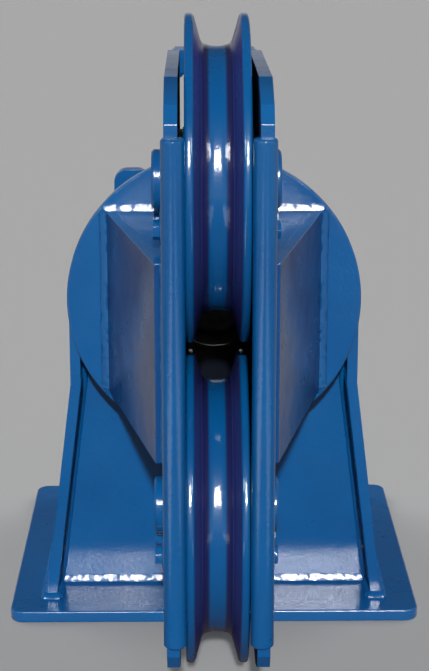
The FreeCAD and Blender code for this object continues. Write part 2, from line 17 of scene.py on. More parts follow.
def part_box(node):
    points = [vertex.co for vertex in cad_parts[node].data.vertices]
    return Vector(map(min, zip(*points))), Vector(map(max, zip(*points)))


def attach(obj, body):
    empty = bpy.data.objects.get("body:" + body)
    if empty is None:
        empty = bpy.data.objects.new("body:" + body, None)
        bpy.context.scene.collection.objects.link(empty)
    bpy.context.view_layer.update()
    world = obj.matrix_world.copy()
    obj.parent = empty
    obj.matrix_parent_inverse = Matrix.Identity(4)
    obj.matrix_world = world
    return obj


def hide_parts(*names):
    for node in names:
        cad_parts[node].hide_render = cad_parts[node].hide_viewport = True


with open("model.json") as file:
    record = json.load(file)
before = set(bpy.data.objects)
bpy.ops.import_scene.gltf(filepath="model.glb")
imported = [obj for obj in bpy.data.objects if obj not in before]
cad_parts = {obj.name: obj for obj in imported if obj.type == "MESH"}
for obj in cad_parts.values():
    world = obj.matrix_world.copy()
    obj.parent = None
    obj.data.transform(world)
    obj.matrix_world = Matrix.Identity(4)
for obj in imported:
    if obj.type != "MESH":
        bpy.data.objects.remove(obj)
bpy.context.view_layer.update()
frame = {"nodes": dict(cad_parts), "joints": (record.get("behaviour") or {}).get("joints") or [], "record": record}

nodes = frame["nodes"]
print("pieces of the construction model:", len(nodes))


# %% [markdown]
# The photograph looks down on the fairlead from in front, a little left of the middle. The
# camera keeps that angle and that distance, because perspective makes the sheaves look large in
# front of the pedestal. The lens was worked out in pixels, against the picture's height, and is
# turned into millimetres on a sensor whose long side is 36 mm. It is a long one.

# %% Camera
PICTURE_HEIGHT = 671
LENS_PIXELS = 1850
LONG_SIDE = 36.0
CAMERA_PLACE = (-0.032, -2.956, 1.212)
CAMERA_PITCH = math.radians(15.6)
CAMERA_YAW = math.radians(0.69)

camera_data = bpy.data.cameras.new("camera")
camera_data.sensor_fit = "AUTO"
camera_data.sensor_width = LONG_SIDE
camera_data.lens = LENS_PIXELS * LONG_SIDE / PICTURE_HEIGHT
camera = bpy.data.objects.new("camera", camera_data)
bpy.context.scene.collection.objects.link(camera)
camera.location = CAMERA_PLACE
camera.rotation_euler = (math.pi / 2 - CAMERA_PITCH, 0, -CAMERA_YAW)
bpy.context.scene.camera = camera
bpy.context.scene.view_settings.view_transform = "Standard"
print("lens in millimetres:", round(camera_data.lens, 2))


# %% [markdown]
# Glossy paint shows what stands around it, so the light matters as much as the paint. In the
# photograph a narrow black shadow runs under the flange and the gussets, which needs a small
# lamp above the camera, 27 degrees up. The bright spots on the sheaves, where the round groove
# mirrors lamps, need soft ones in front and on both sides. So there are two kinds: a key that
# only lights, and panels that are only mirrored. Suns are used because they light the floor
# evenly, so the backdrop stays one grey. Two wide lamps behind and above keep the sides and the
# rear readable.

# %% Lamps
MIRRORED_PANELS = [
    # side, height, softness, strength
    (1.5, 30.5, 10, 1.2),
    (4.8, 23.5, 6, 1.8),
    (-2.5, 22.5, 4, 0.45),
    (-36, 29.5, 11, 0.75),
    (-58, 23.0, 12, 0.40),
    (37, 29.5, 11, 0.75),
    (59, 23.0, 12, 0.40),
]


def soft_sun(name, side, height, softness, strength):
    """A sun placed by its angles seen from the fairlead; side 0 is in front, 90 to the right."""
    light = bpy.data.lights.new(name, "SUN")
    light.angle = math.radians(softness)
    light.energy = strength
    lamp = bpy.data.objects.new(name, light)
    bpy.context.scene.collection.objects.link(lamp)
    around, up = math.radians(side), math.radians(height)
    way = Vector((math.sin(around) * math.cos(up), -math.cos(around) * math.cos(up), math.sin(up)))
    lamp.location = 3 * way
    lamp.rotation_euler = way.to_track_quat("Z", "Y").to_euler()
    return lamp


soft_sun("key", side=0, height=27.4, softness=2.0, strength=3.25).visible_glossy = False
soft_sun("rear_left_sun", side=-128, height=38, softness=50, strength=1.1).visible_glossy = False
soft_sun("rear_right_sun", side=122, height=38, softness=50, strength=1.0).visible_glossy = False
for side, height, softness, strength in MIRRORED_PANELS:
    soft_sun(f"panel_at_{side:g}", side, height, softness, strength).visible_diffuse = False


# %% [markdown]
# A weak white sky fills the shadows. The camera and the gloss see something else: the grey of
# the backdrop, which fades to a dark ceiling, because a bright sky would turn the blue milky.
# The Light Path node tells the two apart.

# %% Sky
BACKDROP = (0.386, 0.386, 0.386, 1)
SKY_STRENGTH = 0.13
CEILING_FADE = {"From Min": 0.06, "From Max": 0.33, "To Min": 1.0, "To Max": 0.10}


def fill(node, settings):
    for name, setting in settings.items():
        node.inputs[name].default_value = setting


world = bpy.data.worlds.new("sky")
bpy.context.scene.world = world
world.use_nodes = True
sky = world.node_tree
sky.nodes.clear()
sky_out = sky.nodes.new("ShaderNodeOutputWorld")
sky_mix = sky.nodes.new("ShaderNodeMixShader")
sky_light = sky.nodes.new("ShaderNodeBackground")
fill(sky_light, {"Color": (1, 1, 1, 1), "Strength": SKY_STRENGTH})
sky_seen = sky.nodes.new("ShaderNodeBackground")
fill(sky_seen, {"Color": BACKDROP})
way_up = sky.nodes.new("ShaderNodeSeparateXYZ")
sky.links.new(sky.nodes.new("ShaderNodeTexCoord").outputs["Generated"], way_up.inputs[0])
ceiling = sky.nodes.new("ShaderNodeMapRange")
fill(ceiling, CEILING_FADE)
sky.links.new(way_up.outputs["Z"], ceiling.inputs["Value"])
sky.links.new(ceiling.outputs["Result"], sky_seen.inputs["Strength"])
ray = sky.nodes.new("ShaderNodeLightPath")
seen = ray.outputs["Is Camera Ray"]
for kind in ("Is Glossy Ray", "Is Transmission Ray"):
    either = sky.nodes.new("ShaderNodeMath")
    either.operation = "MAXIMUM"
    sky.links.new(seen, either.inputs[0])
    sky.links.new(ray.outputs[kind], either.inputs[1])
    seen = either.outputs[0]
sky.links.new(seen, sky_mix.inputs["Fac"])
sky.links.new(sky_light.outputs[0], sky_mix.inputs[1])
sky.links.new(sky_seen.outputs[0], sky_mix.inputs[2])
sky.links.new(sky_mix.outputs[0], sky_out.inputs["Surface"])
print("sky nodes:", len(sky.nodes))


# %% [markdown]
# The floor is one large pale grey plane. The camera looks down, so the upright plates mirror the
# ground in front of the fairlead. In the photograph that ground is dark and brown, which makes
# the blue deep. A studio does this with a dark card that lies out of view. Here it lies on the
# floor in front, and only reflections see it. Two glowing cards on it draw the light stripes on
# the bars, and brownish grey ones at the sides give the gussets their sheen.

# %% Floor and cards
FLOOR_GREY = (0.385, 0.385, 0.385, 1)
DARK_BROWN = (0.070, 0.052, 0.046, 1)
SIDE_GREY = (0.22, 0.19, 0.16, 1)
STRIPE_WHITE = (0.8, 0.8, 0.8, 1)
STRIPE_GLOW = {"left": 1.0, "right": 0.35}
CARDS_END = -0.33


def deselect():
    """Operators act on all that is selected, so each step starts with nothing selected."""
    if bpy.context.mode != "OBJECT":
        bpy.ops.object.mode_set(mode="OBJECT")
    bpy.ops.object.select_all(action="DESELECT")


def flat_card(name, corner, far_corner, height, colour):
    """A matt sheet on the floor, from one corner to the other."""
    deselect()
    middle = [(a + b) / 2 for a, b in zip(corner, far_corner)]
    bpy.ops.mesh.primitive_plane_add(size=1, location=(*middle, height))
    sheet = bpy.context.object
    sheet.name = name
    sheet.scale = (abs(far_corner[0] - corner[0]), abs(far_corner[1] - corner[1]), 1)
    paint = bpy.data.materials.new(name + "_paint")
    paint.use_nodes = True
    shader = paint.node_tree.nodes["Principled BSDF"]
    fill(shader, {"Base Color": colour, "Roughness": 0.9, "Specular IOR Level": 0.1})
    sheet.data.materials.append(paint)
    return sheet


def only_in_reflections(card):
    card.visible_camera = False
    card.visible_diffuse = False
    card.visible_shadow = False


flat_card("floor", (-40, -40), (40, 40), 0, FLOOR_GREY)
only_in_reflections(flat_card("dark_card", (-3, -7), (3, CARDS_END), 0.002, DARK_BROWN))
for label, way in (("left", -1), ("right", 1)):
    stripe_card = flat_card(
        f"{label}_stripe_card", (way * 0.60, -4.2), (way * 1.45, -1.2), 0.003, STRIPE_WHITE
    )
    shader = stripe_card.data.materials[0].node_tree.nodes["Principled BSDF"]
    fill(shader, {"Emission Color": (1, 1, 1, 1), "Emission Strength": STRIPE_GLOW[label]})
    only_in_reflections(stripe_card)
for label, way in (("left", -1), ("right", 1)):
    only_in_reflections(
        flat_card(f"{label}_ground", (way * 0.42, CARDS_END), (way * 5, 5), 0.002, SIDE_GREY)
    )
sheets = [item.name for item in bpy.data.objects if item.type == "MESH" and item.name not in nodes]
print("flat sheets:", sheets)


# %% [markdown]
# The enamel is a blue base under a clear gloss. Sprayed paint is never flat: it has a fine
# orange peel, a slow swell left by the plate under it, and tones that drift a little. Its edges
# are round, because paint and a grinder soften every cut edge. The round edge comes from a bevel
# read by the shader, so the plates keep their mesh and still catch light on their rims.

# %% Enamel
ENAMEL_BLUE = (0.0015, 0.096, 0.290, 1)
ENAMEL_DEEP = (0.0018, 0.076, 0.243, 1)
FULL_GLOSS = 0.9


def new_material(name):
    material = bpy.data.materials.new(name)
    material.use_nodes = True
    tree = material.node_tree
    return material, tree, tree.nodes["Principled BSDF"]


def place_node(tree):
    return tree.nodes.new("ShaderNodeTexCoord").outputs["Object"]


def noise_node(tree, place, scale, detail=2.0, roughness=0.5):
    texture = tree.nodes.new("ShaderNodeTexNoise")
    fill(texture, {"Scale": scale, "Detail": detail, "Roughness": roughness})
    tree.links.new(place, texture.inputs["Vector"])
    return texture.outputs["Fac"]


def range_node(tree, value, low, high, to_low=0.0, to_high=1.0):
    remap = tree.nodes.new("ShaderNodeMapRange")
    fill(remap, {"From Min": low, "From Max": high, "To Min": to_low, "To Max": to_high})
    tree.links.new(value, remap.inputs["Value"])
    return remap.outputs["Result"]


def parts_of(tree, place):
    parts = tree.nodes.new("ShaderNodeSeparateXYZ")
    tree.links.new(place, parts.inputs[0])
    return parts.outputs


def colour_mix(tree, factor, first, second):
    mix = tree.nodes.new("ShaderNodeMix")
    mix.data_type = "RGBA"
    tree.links.new(factor, mix.inputs["Factor"])
    for socket, colour in ((mix.inputs["A"], first), (mix.inputs["B"], second)):
        if isinstance(colour, tuple):
            socket.default_value = colour
        else:
            tree.links.new(colour, socket)
    return mix.outputs["Result"]


def bump_node(tree, height, strength, distance, normal=None):
    bump = tree.nodes.new("ShaderNodeBump")
    fill(bump, {"Strength": strength, "Distance": distance})
    tree.links.new(height, bump.inputs["Height"])
    if normal is not None:
        tree.links.new(normal, bump.inputs["Normal"])
    return bump.outputs["Normal"]


def soft_edge(tree, radius):
    bevel = tree.nodes.new("ShaderNodeBevel")
    bevel.samples = 6
    fill(bevel, {"Radius": radius})
    return bevel.outputs["Normal"]


def enamel(name, edge_radius, peel, shade=None, coat_roughness=0.10):
    """Blue paint under a clear gloss. A shade function may darken places, given the node tree."""
    material, tree, shader = new_material(name)
    place = place_node(tree)
    drift = range_node(tree, noise_node(tree, place, 5.0, 3.0), 0.3, 0.7)
    blue = colour_mix(tree, drift, ENAMEL_BLUE, ENAMEL_DEEP)
    if shade is not None:
        blue = shade(tree, place, blue)
    tree.links.new(blue, shader.inputs["Base Color"])
    dull = range_node(tree, noise_node(tree, place, 14.0, 4.0), 0.35, 0.75, 0.26, 0.42)
    tree.links.new(dull, shader.inputs["Roughness"])
    rounded = soft_edge(tree, edge_radius)
    swell = bump_node(tree, noise_node(tree, place, 22.0, 1.0), 0.12, 0.004, rounded)
    grain = bump_node(tree, noise_node(tree, place, 190.0, 2.0, 0.6), peel, 0.0012, swell)
    tree.links.new(grain, shader.inputs["Normal"])
    tree.links.new(grain, shader.inputs["Coat Normal"])
    fill(shader, {"Coat Weight": FULL_GLOSS, "Coat Roughness": coat_roughness, "Coat IOR": 1.5})
    fill(shader, {"Specular IOR Level": 0.15})
    return material


plate_enamel = enamel("plate_enamel", edge_radius=0.0020, peel=0.26, coat_roughness=0.16)
print("enamel nodes:", len(plate_enamel.node_tree.nodes))


# %% [markdown]
# The sheaves carry the same paint, but the flanks of their grooves are painted dark navy, as
# painted shade and painted reflection of the dark parts round the groove. The place in the groove
# is worked out from the distance to the middle plane and to the axle, so the dark flanks turn with
# the sheave.

# %% Sheave enamel
# Painted shade: these navy and purple tones darken the flanks of the groove.
GROOVE_SHADE_NAVY = (0.0110, 0.0150, 0.0750, 1)
FLANK_SHADE_NAVY = (0.026, 0.036, 0.185, 1)
FLANK_SHADE_PURPLE = (0.034, 0.036, 0.170, 1)
FLANK_GLOSS = 0.15
FLANK_STARTS, FLANK_ENDS = (0.0095, 0.0130), (0.0275, 0.0320)
FLANK_RADII = (0.1720, 0.1760)
joints = {joint["name"]: Vector(joint["pos_m"]) for joint in frame["joints"]}


def math_node(tree, operation, first, second=None):
    node = tree.nodes.new("ShaderNodeMath")
    node.operation = operation
    for socket, entry in zip(node.inputs, (first, second)):
        if isinstance(entry, (int, float)):
            socket.default_value = entry
        elif entry is not None:
            tree.links.new(entry, socket)
    return node.outputs[0]


def from_axis(tree, place, axis, centre):
    """The distance from an axis through a centre, and the distance along it."""
    parts = parts_of(tree, place)
    shifted = {
        name: math_node(tree, "SUBTRACT", parts[name], middle)
        for name, middle in zip("XYZ", centre)
    }
    along = math_node(tree, "ABSOLUTE", shifted.pop(axis))
    squares = [math_node(tree, "MULTIPLY", part, part) for part in shifted.values()]
    return math_node(tree, "SQRT", math_node(tree, "ADD", *squares)), along


# Painted shade and painted reflection: the flanks of the groove are darkened to navy.
def groove_shade(centre):
    def shade(tree, place, blue):
        radius, along = from_axis(tree, place, "X", centre)
        flank = range_node(tree, along, *FLANK_STARTS)
        inside = range_node(tree, along, *FLANK_ENDS, 1.0, 0.0)
        deep = range_node(tree, radius, *FLANK_RADII)
        mask = math_node(tree, "MULTIPLY", math_node(tree, "MULTIPLY", flank, inside), deep)
        return colour_mix(tree, mask, blue, GROOVE_SHADE_NAVY)

    return shade


sheave_enamels = {
    level: enamel(
        f"{level}_sheave_enamel",
        edge_radius=0.0010,
        peel=0.12,
        shade=groove_shade(joints[f"{level}_sheave_spin"]),
    )
    for level in ("upper", "lower")
}


def painted_flank_shade(tree, place, blue):
    """Painted shade: navy that drifts a little round the groove."""
    shade_noise = range_node(tree, noise_node(tree, place, 9.0, 4.0), 0.30, 0.70)
    return colour_mix(tree, shade_noise, FLANK_SHADE_NAVY, FLANK_SHADE_PURPLE)


# The flank enamel is painted shade: deep navy with a weak gloss.
flank_enamel = enamel("flank_enamel", edge_radius=0.0010, peel=0.20, shade=painted_flank_shade)
fill(flank_enamel.node_tree.nodes["Principled BSDF"], {"Coat Weight": FLANK_GLOSS})
print("axles at:", [tuple(place) for name, place in joints.items() if "sheave" in name])


# %% [markdown]
# Two bare metals show in small places. The bushes and thrust washers are bronze. The screws of
# the rear ring and the grease fittings are zinc plated, which is a soft grey with a faint milky
# drift.

# %% Bronze and zinc
BRONZE_TONES = (0.56, 0.34, 0.13, 1), (0.42, 0.25, 0.10, 1)
ZINC_TONES = (0.60, 0.62, 0.64, 1), (0.44, 0.46, 0.49, 1)


def mottled(name, noise, spread, colours, dullness):
    """A finish whose tone and roughness drift together."""
    material, tree, shader = new_material(name)
    tone = range_node(tree, noise_node(tree, place_node(tree), *noise), *spread)
    tree.links.new(colour_mix(tree, tone, *colours), shader.inputs["Base Color"])
    tree.links.new(range_node(tree, tone, 0, 1, *dullness), shader.inputs["Roughness"])
    return material, tree, shader, tone


def bare_metal(name, noise, colours, dullness, edge_radius):
    material, tree, shader, _ = mottled(name, noise, (0.3, 0.7), colours, dullness)
    tree.links.new(soft_edge(tree, edge_radius), shader.inputs["Normal"])
    fill(shader, {"Metallic": 1.0})
    return material


bearing_bronze = bare_metal("bearing_bronze", (60, 4), BRONZE_TONES, (0.28, 0.45), 0.0006)
zinc_plating = bare_metal("zinc_plating", (140, 5, 0.6), ZINC_TONES, (0.30, 0.48), 0.0005)
print("bare metals:", bearing_bronze.name, zinc_plating.name)


# %% [markdown]
# Not every place is bright blue. The bore and the inner faces of the cheeks lie in shade, so both
# get painted shade, dark and matt. Noise drives the tone, the roughness and a little bump, so that
# neither looks like a flat fill.

# %% Painted shade in dark places
# Painted shade: near black for the bore, dark navy for the cheeks' inner faces and the webs.
BORE_SHADE_TONES = (0.006, 0.007, 0.010, 1), (0.016, 0.018, 0.026, 1)
INNER_SHADE_TONES = (0.0030, 0.0120, 0.0450, 1), (0.0050, 0.0220, 0.0800, 1)


def matt_coat(name, noise, spread, colours, dullness, grain, shine):
    material, tree, shader, tone = mottled(name, noise, spread, colours, dullness)
    tree.links.new(bump_node(tree, tone, 0.3, grain), shader.inputs["Normal"])
    fill(shader, {"Specular IOR Level": shine})
    return material


# Both matt finishes are painted shade.
greased_bore = matt_coat(
    "greased_bore", (30, 4, 0.6), (0.35, 0.65), BORE_SHADE_TONES, (0.55, 0.80), grain=0.0006, shine=0.2
)
shaded_paint = matt_coat(
    "shaded_paint", (24, 4, 0.6), (0.30, 0.70), INNER_SHADE_TONES, (0.60, 0.80), grain=0.0008, shine=0.15
)
print("matt finishes:", greased_bore.name, shaded_paint.name)


# %% [markdown]
# Two places change their tone within one face, both by painted shade. The flange is painted black
# round the mouth of the bore, where the sheaves shade it. Each gusset side is painted darker than
# the enamel, navy in the corner to the flange, as painted shade and painted reflection of the
# flange, and thins to grey blue at its nose. A mask made from the distance to the pivot, or from
# the place along the gusset, blends the two.

# %% Painted shade at the mouth and on the gussets
# Painted shade: black at the bore's mouth, and a darker blue and navy on the gusset sides.
MOUTH_SHADE_BLACK = (0.006, 0.008, 0.014, 1)
GUSSET_SHADE_BLUE = (0.0020, 0.055, 0.195, 1)
GUSSET_CORNER_SHADE = (0.0035, 0.027, 0.128, 1)
CORNER_GLOSS = 0.22
BETWEEN_CHEEKS = (0.0490, 0.0500)
MOUTH_REACH = (0.150, 0.185)
CORNER_REACH = (-0.010, 0.080)
UPPER_EDGE = (0.6490, 0.6503)


def mouth_shade(tree, place, blue):
    """Painted shade: the flange is blackened round the mouth of the bore, between the cheeks."""
    radius, _ = from_axis(tree, place, "Y", joints["head_pivot"])
    across = math_node(tree, "ABSOLUTE", parts_of(tree, place)["X"])
    between = range_node(tree, across, *BETWEEN_CHEEKS, 1.0, 0.0)
    shade_noise = noise_node(tree, place, 18.0, 3.0)
    reach = math_node(tree, "ADD", radius, math_node(tree, "MULTIPLY", shade_noise, 0.030))
    close = range_node(tree, reach, *MOUTH_REACH, 1.0, 0.0)
    return colour_mix(tree, math_node(tree, "MULTIPLY", between, close), blue, MOUTH_SHADE_BLACK)


def gusset_corner(tree, place):
    """One in the corner to the flange, zero at the nose; and a mask that leaves out the edge."""
    parts = parts_of(tree, place)
    shade_noise = math_node(tree, "MULTIPLY", noise_node(tree, place, 14.0, 3.0), 0.050)
    risen = math_node(tree, "ADD", parts["Y"], math_node(tree, "MULTIPLY", parts["Z"], 0.9))
    below_edge = range_node(tree, parts["Z"], *UPPER_EDGE, 1.0, 0.0)
    corner = range_node(tree, math_node(tree, "ADD", risen, shade_noise), *CORNER_REACH)
    return math_node(tree, "MULTIPLY", corner, below_edge), below_edge


def gusset_shade(tree, place, blue):
    """Painted shade on the gusset sides, darkest in the corner; the upper edge is plain."""
    corner, below_edge = gusset_corner(tree, place)
    painted_side_shade = colour_mix(tree, corner, GUSSET_SHADE_BLUE, GUSSET_CORNER_SHADE)
    return colour_mix(tree, below_edge, blue, painted_side_shade)


# The gusset enamel carries painted shade, with less gloss in the corner.
gusset_enamel = enamel("gusset_enamel", edge_radius=0.0020, peel=0.20, shade=gusset_shade)
gusset_tree = gusset_enamel.node_tree
corner_mask, _ = gusset_corner(gusset_tree, place_node(gusset_tree))
gloss = range_node(gusset_tree, corner_mask, 0.0, 1.0, FULL_GLOSS, CORNER_GLOSS)
gusset_tree.links.new(gloss, gusset_tree.nodes["Principled BSDF"].inputs["Coat Weight"])
flange_enamel = enamel("flange_enamel", edge_radius=0.0020, peel=0.22, shade=mouth_shade)
print("shaded finishes:", gusset_enamel.name, flange_enamel.name)


# %% [markdown]
# The record gives each construction node a slot, and each slot has its finish here. Four nodes
# get a finish of their own. Their meshes stay as they are; only the material is set.

# %% Painting the construction nodes
SLOT_FINISH = {
    "blue_enamel": plate_enamel,
    "bronze": bearing_bronze,
    "zinc_plated_steel": zinc_plating,
}
special_finish = {
    "gusset_side_left": gusset_enamel,
    "gusset_side_right": gusset_enamel,
    "trunnion_tube": greased_bore,
    "head_flange": flange_enamel,
}
slot_of = {part["node"]: part["material_slot"] for part in frame["record"]["subparts"]}


def coat(piece, finish):
    piece.data.materials.clear()
    piece.data.materials.append(finish)


for name, piece in nodes.items():
    coat(piece, special_finish.get(name, SLOT_FINISH[slot_of[name]]))
print("painted pieces:", sum(slot == "blue_enamel" for slot in slot_of.values()))


# %% [markdown]
# Every joint of the fairlead is arc welded, and the paint lies over the beads. A bead is a row
# of small ripples, like coins pushed over, because the welder moves the arc in steps. So one
# ripple is modelled and an Array repeats it. It starts as a cylinder of which straight cuts
# leave one piece, a little more than what stands proud, because a bead is sunk into its plates.
# The cylinder's wall passes through the ends of the legs, which are one unit long, and each bead
# scales them to its own size. Slanting legs let the same ripple fit plates that meet at any
# angle.
#
# There are three ripples: one for corners, one for seams in a flat face, and one for beads that
# were ground nearly flat, so that they mirror a lamp as one bright strip.

# %% One ripple
RIPPLE = 0.0036
RIPPLE_CREST = 1.07
RIPPLE_LEAN = 0.55
SUNK = 0.07
CORNER_CUTS = (((-SUNK, 0, 0), (1, 0, 0)), ((0, -SUNK, 0), (0, 1, 0)))
CAP_CUTS = (((0, -0.15, 0), (0, 1, 0)),)


def choose(piece):
    deselect()
    piece.select_set(True)
    bpy.context.view_layer.objects.active = piece


def pick_all():
    bpy.ops.mesh.select_all(action="SELECT")


def edit(piece):
    """Opens a piece for editing, with all of it picked."""
    choose(piece)
    bpy.ops.object.mode_set(mode="EDIT")
    pick_all()


def close():
    """Ends the editing of a piece."""
    bpy.ops.object.mode_set(mode="OBJECT")


def pick(piece, kind, test):
    """Selects the vertices, edges or polygons that pass a test, and stays in edit mode."""
    bpy.ops.mesh.select_all(action="DESELECT")
    bpy.ops.mesh.select_mode(type={"vertices": "VERT", "edges": "EDGE", "polygons": "FACE"}[kind])
    close()
    for item in getattr(piece.data, kind):
        item.select = test(item)
    bpy.ops.object.mode_set(mode="EDIT")


def runs_along(piece, edge):
    """Tells whether an edge runs along Z."""
    first, second = (piece.data.vertices[number].co for number in edge.vertices)
    return abs((first - second).z) > 0.9


def ripple(name, centre, radius, cuts, corners=44, crest=RIPPLE_CREST, lean=RIPPLE_LEAN):
    """One ripple along Z: a cylinder of which the cuts leave the part in front of them."""
    deselect()
    bpy.ops.mesh.primitive_cylinder_add(
        vertices=corners, radius=radius, depth=1, location=(*centre, 0.5)
    )
    piece = bpy.context.object
    piece.name = name
    bpy.ops.object.transform_apply(location=True)
    edit(piece)
    for place, normal in cuts:
        pick_all()
        bpy.ops.mesh.bisect(plane_co=place, plane_no=normal, use_fill=True, clear_inner=True)
    pick(piece, "polygons", lambda face: abs(face.normal.z) > 0.9)
    bpy.ops.mesh.delete(type="ONLY_FACE")
    pick(piece, "edges", lambda edge: runs_along(piece, edge))
    bpy.ops.mesh.subdivide(number_cuts=1)
    pick(piece, "vertices", lambda vertex: abs(vertex.co.z - 0.5) < 0.1)
    bpy.ops.transform.resize(value=(crest, crest, 1), center_override=(0, 0, 0.5))
    lean_forward(piece, lean)
    close()
    return piece


def lean_forward(piece, lean):
    """Moves the crown of a ripple ahead of its toes, which gives the crescent shape."""
    toes = Vector((0, 1, 0)) if piece.name == "cap_ripple" else Vector((1, 1, 0)).normalized()
    heights = sorted({round(vertex.co.xy.dot(toes.xy), 3) for vertex in piece.data.vertices})
    low, high = heights[0], heights[-1]
    for height in heights:
        share = (height - low) / (high - low)
        pick(piece, "vertices", lambda vertex: abs(vertex.co.xy.dot(toes.xy) - height) < 0.002)
        bpy.ops.transform.translate(value=(0, 0, lean * share ** 2))


corner_ripple = ripple("corner_ripple", centre=(-0.6, -0.6), radius=1.709, cuts=CORNER_CUTS)
flat_ripple = ripple(
    "flat_ripple",
    centre=(-3, -3),
    radius=5,
    cuts=CORNER_CUTS,
    corners=160,
    crest=1.02,
    lean=0.0,
)
cap_ripple = ripple("cap_ripple", centre=(0, -1.209), radius=1.569, cuts=CAP_CUTS)
for unit in (corner_ripple, flat_ripple, cap_ripple):
    print(unit.name, "faces:", len(unit.data.polygons))


# %% [markdown]
# A bead is an Array of ripples, laid from a start to an end. Its two legs are vectors, so that
# one function serves every joint. The ends are drawn in and closed, and a Displace modifier with
# a cloud texture makes no two ripples alike, as no welder's hand is that steady.

# %% Laying a bead
UNEVEN, UNEVEN_WHERE_FLAT = 0.0026, 0.0011
DRAWN_IN = 0.55
BEAD_CREASE = math.radians(60)
cloud = bpy.data.textures.new("uneven_hand", "CLOUDS")
cloud.noise_scale = 0.013
cloud.noise_depth = 1


def apply_modifier(piece, kind, **settings):
    choose(piece)
    modifier = piece.modifiers.new(kind.lower(), kind)
    for name, setting in settings.items():
        setattr(modifier, name, setting)
    bpy.ops.object.modifier_apply(modifier=modifier.name)


def own_copy(piece, name):
    twin = piece.copy()
    twin.data = piece.data.copy()
    twin.name = name
    bpy.context.scene.collection.objects.link(twin)
    return twin


def flip_faces(piece):
    edit(piece)
    bpy.ops.mesh.flip_normals()
    close()


def row_of_ripples(unit, count):
    row = own_copy(unit, "bead")
    apply_modifier(
        row,
        "ARRAY",
        count=count,
        use_relative_offset=False,
        use_constant_offset=True,
        constant_offset_displace=(0, 0, 1),
        use_merge_vertices=True,
        merge_threshold=0.02,
    )
    return row


def uneven(piece, strength=UNEVEN):
    apply_modifier(
        piece, "DISPLACE", texture=cloud, texture_coords="LOCAL", strength=strength, mid_level=0.5
    )


def bead(start, end, leg, other_leg, unit=corner_ripple):
    """A straight bead; the legs are the vectors that one unit of the ripple becomes."""
    start, end = Vector(start), Vector(end)
    count = max(2, round((end - start).length / RIPPLE))
    row = row_of_ripples(unit, count)
    edit(row)
    bpy.ops.mesh.select_mode(type="EDGE")
    bpy.ops.mesh.select_non_manifold(
        extend=False, use_wire=False, use_boundary=True, use_multi_face=False,
        use_non_contiguous=False, use_verts=False,
    )
    bpy.ops.transform.resize(value=(DRAWN_IN, DRAWN_IN, 1), center_override=(0, 0, 0))
    bpy.ops.mesh.fill_holes(sides=0)
    close()
    step = (end - start) / count
    place = Matrix((leg, other_leg, step)).transposed().to_4x4()
    place.translation = start
    row.data.transform(place)
    if place.determinant() < 0:
        flip_faces(row)
    uneven(row, UNEVEN_WHERE_FLAT if unit == flat_ripple else UNEVEN)
    return row


def cap(start, end, across, out, size):
    """A bead on a face or an outer edge; across is its width and out the way it stands proud."""
    return bead(start, end, size * across, size * out, cap_ripple)


print("ripples to a metre:", round(1 / RIPPLE))


# %% [markdown]
# A round bead is a straight row of ripples, bent to a full circle round its tube. Beads of one
# joint become one piece, with mirror images for the other side, and the paint goes over them.

# %% Round beads and sets of beads
def round_bead(radius, centre, out, size):
    """A bead round a tube that stands on a plate: the row is bent to a full circle."""
    count = round(math.tau * radius / RIPPLE)
    pitch = math.tau * radius / count
    row = row_of_ripples(corner_ripple, count)
    row.data.transform(Matrix(((0, 0, pitch, 0), (-size, 0, 0, 0), (0, size, 0, 0), (0, 0, 0, 1))))
    reach = [vertex.co.x for vertex in row.data.vertices]
    full_turn = math.tau * (max(reach) - min(reach)) / (count * pitch)
    apply_modifier(row, "SIMPLE_DEFORM", deform_method="BEND", deform_axis="Z", angle=full_turn)
    edit(row)
    bpy.ops.mesh.remove_doubles(threshold=0.0004)
    bpy.ops.mesh.normals_make_consistent(inside=False)
    close()
    row.data.transform(Matrix.Translation((0, -radius, 0)))
    row.data.transform(Vector(out).to_track_quat("Z", "Y").to_matrix().to_4x4())
    row.data.transform(Matrix.Translation(centre))
    uneven(row)
    return row


def joined(name, beads, mirror=False):
    """Joins beads into one piece, adds their mirror images if asked, and smooths the ripples."""
    if mirror:
        for piece in list(beads):
            twin = own_copy(piece, "bead")
            twin.data.transform(Matrix.Scale(-1, 4, (1, 0, 0)))
            flip_faces(twin)
            beads.append(twin)
    deselect()
    for piece in beads:
        piece.select_set(True)
    bpy.context.view_layer.objects.active = beads[0]
    bpy.ops.object.join()
    whole = bpy.context.object
    whole.name = name
    bpy.ops.object.shade_smooth_by_angle(angle=BEAD_CREASE)
    return whole


def painted(piece, body, finish):
    coat(piece, finish)
    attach(piece, body)
    print(piece.name, "faces:", len(piece.data.polygons))


bead_enamel = enamel("bead_enamel", edge_radius=0.0, peel=0.10, coat_roughness=0.15)


def weld_set(name, body, beads, mirror=True):
    painted(joined(name, beads, mirror), body, bead_enamel)


print("paint over the beads:", bead_enamel.name)


# %% [markdown]
# The pedestal's joints are laid first. The places are read from the construction nodes where
# their boxes give them, and the rest is stated in metres. The side plates lean between foot and
# knee, so their beads need two slanting directions: up along the plate, and away from it.

